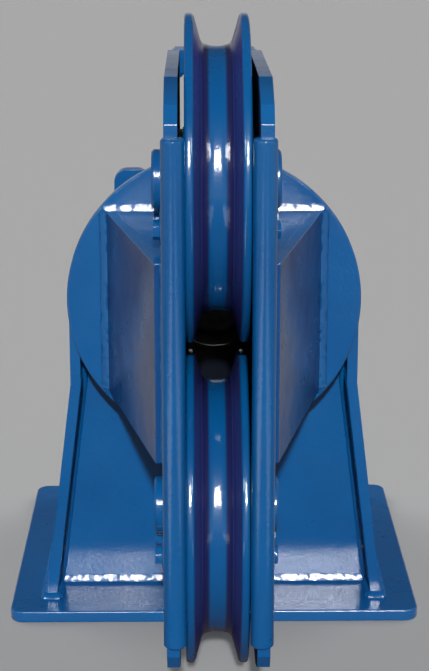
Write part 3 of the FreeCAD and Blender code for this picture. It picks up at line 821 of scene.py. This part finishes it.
# %% Places on the pedestal
side_low, side_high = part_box("side_plate_right")
crown_low, crown_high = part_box("crown_plate")
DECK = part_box("base_plate")[1].z
FRONT_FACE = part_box("front_plate")[0].y
REAR_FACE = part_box("rear_plate")[1].y
FOOT_X = side_high.x
SHOULDER_X = crown_high.x
SHOULDER_UP = side_high.z
KNEE_UP = 0.374
SIDE_THICK = 0.016
SIDE_LEAN = math.atan((FOOT_X - SHOULDER_X) / (KNEE_UP - DECK))
FOOT_IN = FOOT_X - SIDE_THICK / math.cos(SIDE_LEAN)
SHOULDER_IN = SHOULDER_X - SIDE_THICK
UP_SIDE = Vector((-math.sin(SIDE_LEAN), 0, math.cos(SIDE_LEAN)))
OFF_SIDE = Vector((-math.cos(SIDE_LEAN), 0, -math.sin(SIDE_LEAN)))
UP, RIGHT = Vector((0, 0, 1)), Vector((1, 0, 0))
FORWARD, BACKWARD = Vector((0, -1, 0)), Vector((0, 1, 0))
FACES = ((FRONT_FACE, FORWARD), (REAR_FACE, BACKWARD))
print("side plates lean by degrees:", round(math.degrees(SIDE_LEAN), 2))


# %% [markdown]
# The front and the rear plate each get five beads on the right half, which are then mirrored:
# along the foot, up the leaning side, up the straight side, and two that run on round the side
# plate's foot.

# %% Pedestal beads
PLATE_LEG = 0.0085
FOOT_FORWARD, FOOT_UP = 0.0050, 0.0107
MIDDLE_GAP, CORNER_GAP, OVERRUN = 0.001, 0.004, 0.006
leg_right, leg_left = PLATE_LEG * RIGHT, -PLATE_LEG * RIGHT
leg_up_side = PLATE_LEG * UP_SIDE

for label, (face, out) in zip(("front", "rear"), FACES):
    side_end = out.y * side_high.y
    foot = (FOOT_IN, face, DECK)
    knee = (SHOULDER_IN, face, KNEE_UP)
    shoulder = (SHOULDER_IN, face, SHOULDER_UP)
    leg_out = PLATE_LEG * out
    beads = [
        bead(
            (MIDDLE_GAP, face, DECK),
            (FOOT_IN - CORNER_GAP, face, DECK),
            FOOT_FORWARD * out,
            FOOT_UP * UP,
            flat_ripple,
        ),
        bead(foot, knee, leg_out, PLATE_LEG * OFF_SIDE),
        bead(knee, shoulder, leg_out, leg_left),
        bead(foot, (FOOT_IN, side_end, DECK), leg_left, leg_up_side),
        bead(
            (FOOT_IN - OVERRUN, side_end, DECK),
            (FOOT_X + OVERRUN, side_end, DECK),
            leg_out,
            PLATE_LEG * UP,
        ),
    ]
    weld_set(f"{label}_plate_welds", "pedestal", beads)

foot_ends = [(FOOT_X, side_low.y, DECK), (FOOT_X, side_high.y, DECK)]
weld_set("foot_welds", "pedestal", [bead(*foot_ends, leg_right, leg_up_side)])


# %% [markdown]
# The crown plate closes the top. Its edges lie flush with the front and rear plates, so these
# seams are flat caps and not corner beads.

# %% Crown beads
CROWN_THICK = 0.012
CROWN_HALF_TOP = 0.070
SEAM_IN = 0.0005
EDGE_CAP, FACE_CAP = 0.006, 0.005
crown_slope = (SHOULDER_X - CROWN_HALF_TOP) / (crown_high.z - SHOULDER_UP)
slope_angle = math.atan(crown_slope)
UP_CROWN = Vector((-math.sin(slope_angle), 0, math.cos(slope_angle)))
OFF_CROWN = Vector((math.cos(slope_angle), 0, math.sin(slope_angle)))
crown_in = SHOULDER_X - CROWN_THICK / math.cos(slope_angle)
inner_top = crown_high.z - CROWN_THICK
crown_in_top = crown_in - (inner_top - SHOULDER_UP) * crown_slope

crown_beads = [
    cap(
        (SHOULDER_X - SEAM_IN, crown_low.y, SHOULDER_UP),
        (SHOULDER_X - SEAM_IN, crown_high.y, SHOULDER_UP),
        (UP + UP_CROWN).normalized(),
        (RIGHT + OFF_CROWN).normalized(),
        EDGE_CAP,
    )
]
for face, out in FACES:
    corner = (crown_in_top, face, inner_top)
    crown_beads.append(cap((crown_in, face, SHOULDER_UP), corner, OFF_CROWN, out, FACE_CAP))
    crown_beads.append(cap(corner, (0, face, inner_top), UP, out, FACE_CAP))
weld_set("crown_welds", "pedestal", crown_beads)


# %% [markdown]
# The lifting eye stands on the crown's left slope and is welded all round, and a bead runs round
# the bearing housing on both faces of the pedestal.

# %% Lifting eye and housing beads
EYE_LEG = 0.007
EYE_OVERRUN = 0.003
eye_low, eye_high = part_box("lifting_eye")
eye_slope = Vector((-UP_CROWN.x, 0, UP_CROWN.z))
off_eye = Vector((-OFF_CROWN.x, 0, OFF_CROWN.z))


def on_crown(across):
    """The height of the crown's left slope at a place across."""
    return SHOULDER_UP + (SHOULDER_X + across) / crown_slope


eye_beads = []
for face, out in ((eye_low.y, FORWARD), (eye_high.y, BACKWARD)):
    eye_beads.append(
        bead(
            (eye_low.x, face, on_crown(eye_low.x)),
            (eye_high.x, face, on_crown(eye_high.x)),
            EYE_LEG * out,
            EYE_LEG * off_eye,
        )
    )
for edge, way in ((eye_low.x, -eye_slope), (eye_high.x, eye_slope)):
    eye_beads.append(
        bead(
            (edge, eye_low.y - EYE_OVERRUN, on_crown(edge)),
            (edge, eye_high.y + EYE_OVERRUN, on_crown(edge)),
            EYE_LEG * way,
            EYE_LEG * UP,
        )
    )
weld_set("lifting_eye_welds", "pedestal", eye_beads, mirror=False)

housing_low, housing_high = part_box("bearing_housing")
PIVOT_UP = (housing_low.z + housing_high.z) / 2
HOUSING_RADIUS = (housing_high.x - housing_low.x) / 2
housing_beads = [
    round_bead(HOUSING_RADIUS, (0, face, PIVOT_UP), out, PLATE_LEG) for face, out in FACES
]
weld_set("housing_welds", "pedestal", housing_beads, mirror=False)


# %% [markdown]
# On the head, the box gussets carry the load from the cheeks to the flange, so their beads are
# the heaviest. The bead on top of each gusset catches the lamp and shows as a bright line.

# %% Gusset beads
flange_low, flange_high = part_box("head_flange")
gusset_low, gusset_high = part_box("gusset_side_right")
cheek_low, cheek_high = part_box("cheek_right")
FACE_Y = flange_low.y
CHEEK_OUT = cheek_high.x
CHEEK_IN = cheek_low.x
NOSE_Y = gusset_low.y
GUSSET_X = gusset_high.x
NOSE_X = 0.083
GUSSET_LEG = 0.0095
CHEEK_SEAM_LEG = 0.006
GUSSET_FORWARD, GUSSET_UP = 0.0041, 0.0106
GUSSET_OVERRUN = 0.004
gusset_lean = math.atan((GUSSET_X - NOSE_X) / (FACE_Y - NOSE_Y))
ALONG_GUSSET = Vector((-math.sin(gusset_lean), -math.cos(gusset_lean), 0))

gusset_beads = [
    bead(
        (GUSSET_X, FACE_Y, gusset_low.z),
        (GUSSET_X, FACE_Y, gusset_high.z),
        GUSSET_LEG * RIGHT,
        GUSSET_LEG * ALONG_GUSSET,
    ),
    bead(
        (CHEEK_OUT, NOSE_Y, gusset_low.z),
        (CHEEK_OUT, NOSE_Y, gusset_high.z),
        GUSSET_LEG * FORWARD,
        GUSSET_LEG * RIGHT,
    ),
]
for level, out in ((gusset_high.z, UP), (gusset_low.z, -UP)):
    gusset_beads += [
        bead(
            (CHEEK_OUT, FACE_Y, level),
            (GUSSET_X + GUSSET_OVERRUN, FACE_Y, level),
            GUSSET_FORWARD * FORWARD,
            GUSSET_UP * out,
            flat_ripple,
        ),
        bead(
            (CHEEK_OUT, FACE_Y, level),
            (CHEEK_OUT, NOSE_Y - GUSSET_OVERRUN, level),
            CHEEK_SEAM_LEG * RIGHT,
            CHEEK_SEAM_LEG * out,
        ),
    ]
weld_set("gusset_welds", "head", gusset_beads)


# %% [markdown]
# The cheeks are welded to the flange above and below the gussets, outside and inside. The inner
# beads are smaller and stop short of the bore's mouth. The guard bars are slotted over the
# cheeks' front edges and welded along both faces.

# %% Cheek and guard bar beads
FLANGE_RADIUS = (flange_high.x - flange_low.x) / 2
OUTER_LEG, INNER_LEG = 0.008, 0.005
MOUTH_CLEAR = 0.040
RIM_CLEAR = 0.004
cheek_beads = []
for across, way, near, leg in (
    (CHEEK_OUT, RIGHT, gusset_high.z - PIVOT_UP, OUTER_LEG),
    (CHEEK_IN, -RIGHT, MOUTH_CLEAR, INNER_LEG),
):
    reach = math.sqrt(FLANGE_RADIUS ** 2 - across ** 2) - RIM_CLEAR
    for sign in (1, -1):
        cheek_beads.append(
            bead(
                (across, FACE_Y, PIVOT_UP + sign * near),
                (across, FACE_Y, PIVOT_UP + sign * reach),
                leg * way,
                leg * FORWARD,
            )
        )
weld_set("cheek_welds", "head", cheek_beads)

bar_low, bar_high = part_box("guard_bar_right")
BAR_RADIUS = (bar_high.x - bar_low.x) / 2
BAR_X = (bar_high.x + bar_low.x) / 2
BAR_Y = bar_low.y + BAR_RADIUS
BAR_LEG = 0.0055
BAR_END_CLEAR = 0.006
bar_beads = []
for across, way in ((CHEEK_OUT, 1), (CHEEK_IN, -1)):
    offset = across - BAR_X
    behind = math.sqrt(BAR_RADIUS ** 2 - offset ** 2)
    tangent = Vector((way * behind, -way * offset, 0)) / BAR_RADIUS
    bar_beads.append(
        bead(
            (across, BAR_Y + behind, bar_low.z + BAR_END_CLEAR),
            (across, BAR_Y + behind, bar_high.z - BAR_END_CLEAR),
            BAR_LEG * BACKWARD,
            BAR_LEG * tangent,
        )
    )
weld_set("guard_bar_welds", "head", bar_beads)


# %% [markdown]
# The tie bars lie across the cheeks' ends. A bead fills the corner on the inner side of each
# cheek, and a narrow one the small step outside. After these last beads the ripples are put
# away.

# %% Tie bar beads
TIE_LEG = 0.006
TIE_STEP = 0.003
tie_low, tie_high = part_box("tie_bar_top")
LOWER_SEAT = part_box("tie_bar_bottom")[1].z
tie_beads = []
for seat, out in ((tie_low.z, UP), (LOWER_SEAT, -UP)):
    for across, leg, other_leg in (
        (CHEEK_IN, -TIE_LEG * RIGHT, -TIE_LEG * out),
        (tie_high.x, TIE_STEP * RIGHT, TIE_LEG * out),
    ):
        ends = [(across, tie_low.y, seat), (across, tie_high.y, seat)]
        tie_beads.append(bead(*ends, leg, other_leg))
weld_set("tie_bar_welds", "head", tie_beads)

for unit in (corner_ripple, flat_ripple, cap_ripple):
    bpy.data.objects.remove(unit)


# %% [markdown]
# The sheaves are the heart of the fairlead, and they are turned on a lathe, so they are modelled
# in the same way. One vertex is extruded along the section, corner by corner. The corners are
# rounded with a vertex bevel, and the section is spun round the axle. The groove has a slightly
# hollow floor and generous fillets, so that the rope beds well, and these hollows split the
# lamp's reflection into separate spots, as in the photograph.

# %% Section of a sheave
SHEAVE_HALF = [
    # place along the axle, radius, length of the rounding, its steps
    (0.0450, 0.05005, 0.0010, 1),
    (0.0450, 0.0700, 0.0020, 2),
    (0.0090, 0.0700, 0.0080, 5),
    (0.0090, 0.1630, 0.0080, 5),
    (0.0425, 0.1630, 0.0022, 2),
    (0.0425, 0.2200, 0.0036, 4),
    (0.0310, 0.2200, 0.0036, 4),
    (0.0200, 0.1808, 0.0052, 8),
    (0.0070, 0.1772, 0.0026, 3),
]
GROOVE_MIDDLE = (0.0, 0.1770, 0.0030, 2)
SAME_SPOT = 1e-5


def near_spot(vertex, across, radius):
    return abs(vertex.co.x - across) < SAME_SPOT and abs(vertex.co.y - radius) < SAME_SPOT


def turned_section(corners):
    """A closed section in the XY plane, with its corners rounded; X runs along the axle."""
    deselect()
    bpy.ops.mesh.primitive_plane_add(size=0.01)
    section = bpy.context.object
    edit(section)
    bpy.ops.mesh.select_mode(type="VERT")
    pick_all()
    bpy.ops.mesh.merge(type="CENTER")
    start = Vector(corners[0][:2])
    bpy.ops.transform.translate(value=(*start, 0))
    for corner in corners[1:]:
        step = Vector(corner[:2]) - start
        bpy.ops.mesh.extrude_region_move(TRANSFORM_OT_translate={"value": (*step, 0)})
        start = Vector(corner[:2])
    pick(
        section,
        "vertices",
        lambda vertex: near_spot(vertex, *corners[0][:2]) or near_spot(vertex, *corners[-1][:2]),
    )
    bpy.ops.mesh.edge_face_add()
    for across, radius, rounding, steps in corners:
        pick(section, "vertices", lambda vertex: near_spot(vertex, across, radius))
        bpy.ops.mesh.bevel(
            affect="VERTICES", offset_type="ABSOLUTE", offset=rounding, segments=steps, profile=0.5
        )
    return section


other_half = [(-across, *rest) for across, *rest in reversed(SHEAVE_HALF)]
SECTION = SHEAVE_HALF + [GROOVE_MIDDLE] + other_half
print("corners of the section:", len(SECTION))


# %% [markdown]
# The faces of the finished sheave are sorted by the way they look. Faces square to the axle are
# the web, which gets painted shade, dark and matt. The steep flanks of the groove get their navy
# painted shade, and all other faces keep the enamel.

# %% Turned sheaves
SPIN_STEPS = 168
SHEAVE_CREASE = math.radians(32)
WEB_LIMIT, WEB_TURN = 0.0424, 0.98
FLANK_LIMIT, FLANK_TURN = 0.0312, 0.80


def turned_sheave(level):
    sheave = turned_section(SECTION)
    pick_all()
    bpy.ops.mesh.spin(steps=SPIN_STEPS, angle=math.tau, center=(0, 0, 0), axis=(1, 0, 0))
    pick_all()
    bpy.ops.mesh.remove_doubles(threshold=SAME_SPOT)
    bpy.ops.mesh.normals_make_consistent(inside=False)
    close()
    sheave.name = f"{level}_turned_sheave"
    sheave.data.transform(Matrix.Translation(joints[f"{level}_sheave_spin"]))
    bpy.ops.object.shade_smooth_by_angle(angle=SHEAVE_CREASE)
    return sheave


for level in ("upper", "lower"):
    sheave = turned_sheave(level)
    painted(sheave, f"{level}_wheel", sheave_enamels[level])
    # The web and the flanks of the groove get painted shade.
    sheave.data.materials.append(shaded_paint)
    sheave.data.materials.append(flank_enamel)
    for face in sheave.data.polygons:
        across, turn = abs(face.center.x), abs(face.normal.x)
        if across < WEB_LIMIT and turn > WEB_TURN:
            face.material_index = 1
        elif across < FLANK_LIMIT and FLANK_TURN < turn < WEB_TURN:
            face.material_index = 2
    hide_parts(f"{level}_sheave")


# %% [markdown]
# The cheeks and the base plate are flame cut from thick plate. Their edges are ground round,
# which a Bevel modifier does to a copy of the construction node, once its loose triangles are
# merged into one skin. Smooth shading alone would bend the light on the large faces, so the
# normals are weighted by area. The cheeks' inner faces lie in shade, so they get painted shade,
# dark and matt.

# %% Cheeks and base plate with ground edges
CHEEK_EDGE = {"width": 0.0018, "segments": 3}
BASE_EDGE = {"width": 0.0030, "segments": 4}
CUT_CORNER, PLATE_CREASE = math.radians(30), math.radians(40)


def merged_copy(node, name):
    piece = own_copy(nodes[node], name)
    edit(piece)
    bpy.ops.mesh.remove_doubles(threshold=SAME_SPOT)
    bpy.ops.mesh.dissolve_limited(angle_limit=math.radians(0.5))
    close()
    return piece


def ground_edges(piece, width, segments):
    """Rounds the edges of a plate; weighted normals keep its large faces flat to the eye."""
    rounding = {"width": width, "segments": segments, "limit_method": "ANGLE"}
    apply_modifier(piece, "BEVEL", **rounding, angle_limit=CUT_CORNER)
    choose(piece)
    bpy.ops.object.shade_smooth_by_angle(angle=PLATE_CREASE)
    apply_modifier(piece, "WEIGHTED_NORMAL", mode="FACE_AREA", weight=100, keep_sharp=True)


for side, inner in (("left", -CHEEK_IN), ("right", CHEEK_IN)):
    cheek = merged_copy(f"cheek_{side}", f"ground_cheek_{side}")
    ground_edges(cheek, **CHEEK_EDGE)
    painted(cheek, "head", plate_enamel)
    # The inner face of each cheek gets painted shade.
    cheek.data.materials.append(shaded_paint)
    for face in cheek.data.polygons:
        face.material_index = int(abs(face.center.x - inner) < 0.0001)
    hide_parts(f"cheek_{side}")

base = merged_copy("base_plate", "ground_base_plate")
ground_edges(base, **BASE_EDGE)
painted(base, "pedestal", plate_enamel)
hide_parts("base_plate")


# %% [markdown]
# Two hexagon bolts hold each keeper plate. The construction model has plain prisms; the real
# head is chamfered where it was turned, and its top is slightly dished. What a prism and a cone
# have in common is a chamfered head, which is how the shape comes about on a lathe. Each bolt is
# left at its own angle, and the paint goes over them.

# %% Keeper bolts
BOLT_FLATS, BOLT_HEIGHT = 0.024, 0.010
BOLT_CROWN = 0.475 * BOLT_FLATS
BOLT_RIM, BOLT_DISH = 0.0022, 0.0004
BOLT_SHANK, BOLT_GRIP = 0.008, 0.023
BOLT_DROP, BOLT_SIDE = 0.062, 0.035
BOLT_TURN = 13
IN_HEAD = 0.002
KEEPER_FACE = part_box("upper_keeper_right")[1].x
AXLE_Y = joints["upper_sheave_spin"].y


def primitive(kind, **settings):
    deselect()
    getattr(bpy.ops.mesh, f"primitive_{kind}_add")(**settings)
    piece = bpy.context.object
    bpy.ops.object.transform_apply(location=True, rotation=True, scale=True)
    return piece


def combine(piece, other, operation):
    """Joins, cuts or intersects a piece with another one, which is used up."""
    apply_modifier(piece, "BOOLEAN", operation=operation, object=other, solver="EXACT")
    bpy.data.objects.remove(other)
    return piece


def hexagon(flats, low, high):
    return primitive(
        "cylinder",
        vertices=6,
        radius=flats / math.sqrt(3),
        depth=high - low,
        location=(0, 0, (low + high) / 2),
    )


def shank(radius, grip):
    """A plain shank that reaches up into the head."""
    return primitive(
        "cylinder",
        vertices=24,
        radius=radius,
        depth=grip + IN_HEAD,
        location=(0, 0, IN_HEAD / 2 - grip / 2),
    )


def hexagon_bolt():
    head = hexagon(BOLT_FLATS, 0, BOLT_HEIGHT)
    blank = primitive(
        "cone",
        vertices=64,
        radius1=BOLT_CROWN + BOLT_HEIGHT * math.sqrt(3),
        radius2=BOLT_CROWN,
        depth=BOLT_HEIGHT,
        location=(0, 0, BOLT_HEIGHT / 2),
    )
    combine(head, blank, "INTERSECT")
    edit(head)
    pick(head, "polygons", lambda face: face.normal.z > 0.99)
    bpy.ops.mesh.inset(thickness=BOLT_RIM)
    bpy.ops.transform.translate(value=(0, 0, -BOLT_DISH))
    close()
    return combine(head, shank(BOLT_SHANK, BOLT_GRIP), "UNION")


def set_down(unit, place, way, turn):
    """A copy of a fastener at a place, pointing along a way, turned by an angle in degrees."""
    piece = own_copy(unit, unit.name)
    piece.data.transform(Matrix.Rotation(math.radians(turn), 4, "Z"))
    piece.data.transform(Vector(way).to_track_quat("Z", "Y").to_matrix().to_4x4())
    piece.data.transform(Matrix.Translation(place))
    return piece


bolt = hexagon_bolt()
bolts = []
for level in ("upper", "lower"):
    axle_up = joints[f"{level}_sheave_spin"].z
    for side in (-1, 1):
        for step in (-1, 1):
            spot = (side * KEEPER_FACE, AXLE_Y + step * BOLT_SIDE, axle_up - BOLT_DROP)
            bolts.append(set_down(bolt, spot, (side, 0, 0), turn=BOLT_TURN * len(bolts)))
bolt_set = joined("keeper_bolt_set", bolts)
painted(bolt_set, "head", plate_enamel)
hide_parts("keeper_bolts")
bpy.data.objects.remove(bolt)


# %% [markdown]
# Six socket head screws hold the ring at the rear. Their heads are knurled, so every second
# column of the cylinder is drawn in a little below the rounded rim, and a hexagon is cut into
# the top.

# %% Retaining screws
SCREW_COUNT = 6
SCREW_CIRCLE = 0.060
SCREW_RADIUS, SCREW_HEIGHT = 0.009, 0.012
SCREW_SHANK, SCREW_GRIP = 0.006, 0.040
SCREW_ROUNDING = 0.0009
SCREW_TURN = 17
KNURLS, KNURL_DEPTH = 72, 0.955
KNURL_TOP = SCREW_HEIGHT - 0.0006
SOCKET_FLATS = 0.010
SOCKET_FLOOR, SOCKET_TOP = SCREW_HEIGHT - 0.006, SCREW_HEIGHT + 0.002
ring_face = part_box("retaining_ring")[1].y


def socket_screw():
    head = primitive(
        "cylinder",
        vertices=KNURLS,
        radius=SCREW_RADIUS,
        depth=SCREW_HEIGHT,
        location=(0, 0, SCREW_HEIGHT / 2),
    )
    edit(head)
    pick(head, "polygons", lambda face: face.normal.z > 0.99)
    bpy.ops.mesh.bevel(offset=SCREW_ROUNDING, segments=2, affect="EDGES")
    pick(
        head,
        "vertices",
        lambda vertex: vertex.co.z < KNURL_TOP
        and round(math.atan2(vertex.co.y, vertex.co.x) / math.tau * KNURLS) % 2 == 0,
    )
    bpy.ops.transform.resize(value=(KNURL_DEPTH, KNURL_DEPTH, 1), center_override=(0, 0, 0))
    close()
    combine(head, hexagon(SOCKET_FLATS, SOCKET_FLOOR, SOCKET_TOP), "DIFFERENCE")
    return combine(head, shank(SCREW_SHANK, SCREW_GRIP), "UNION")


screw = socket_screw()
screws = []
for number in range(SCREW_COUNT):
    around = math.radians(360 / SCREW_COUNT * number)
    across, up = SCREW_CIRCLE * math.cos(around), SCREW_CIRCLE * math.sin(around)
    spot = (across, ring_face, PIVOT_UP + up)
    screws.append(set_down(screw, spot, (0, 1, 0), turn=SCREW_TURN * number))
screw_set = joined("retaining_screw_set", screws)
coat(screw_set, zinc_plating)
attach(screw_set, "head")
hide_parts("retaining_screws")
bpy.data.objects.remove(screw)
print("screw faces:", len(screw_set.data.polygons))
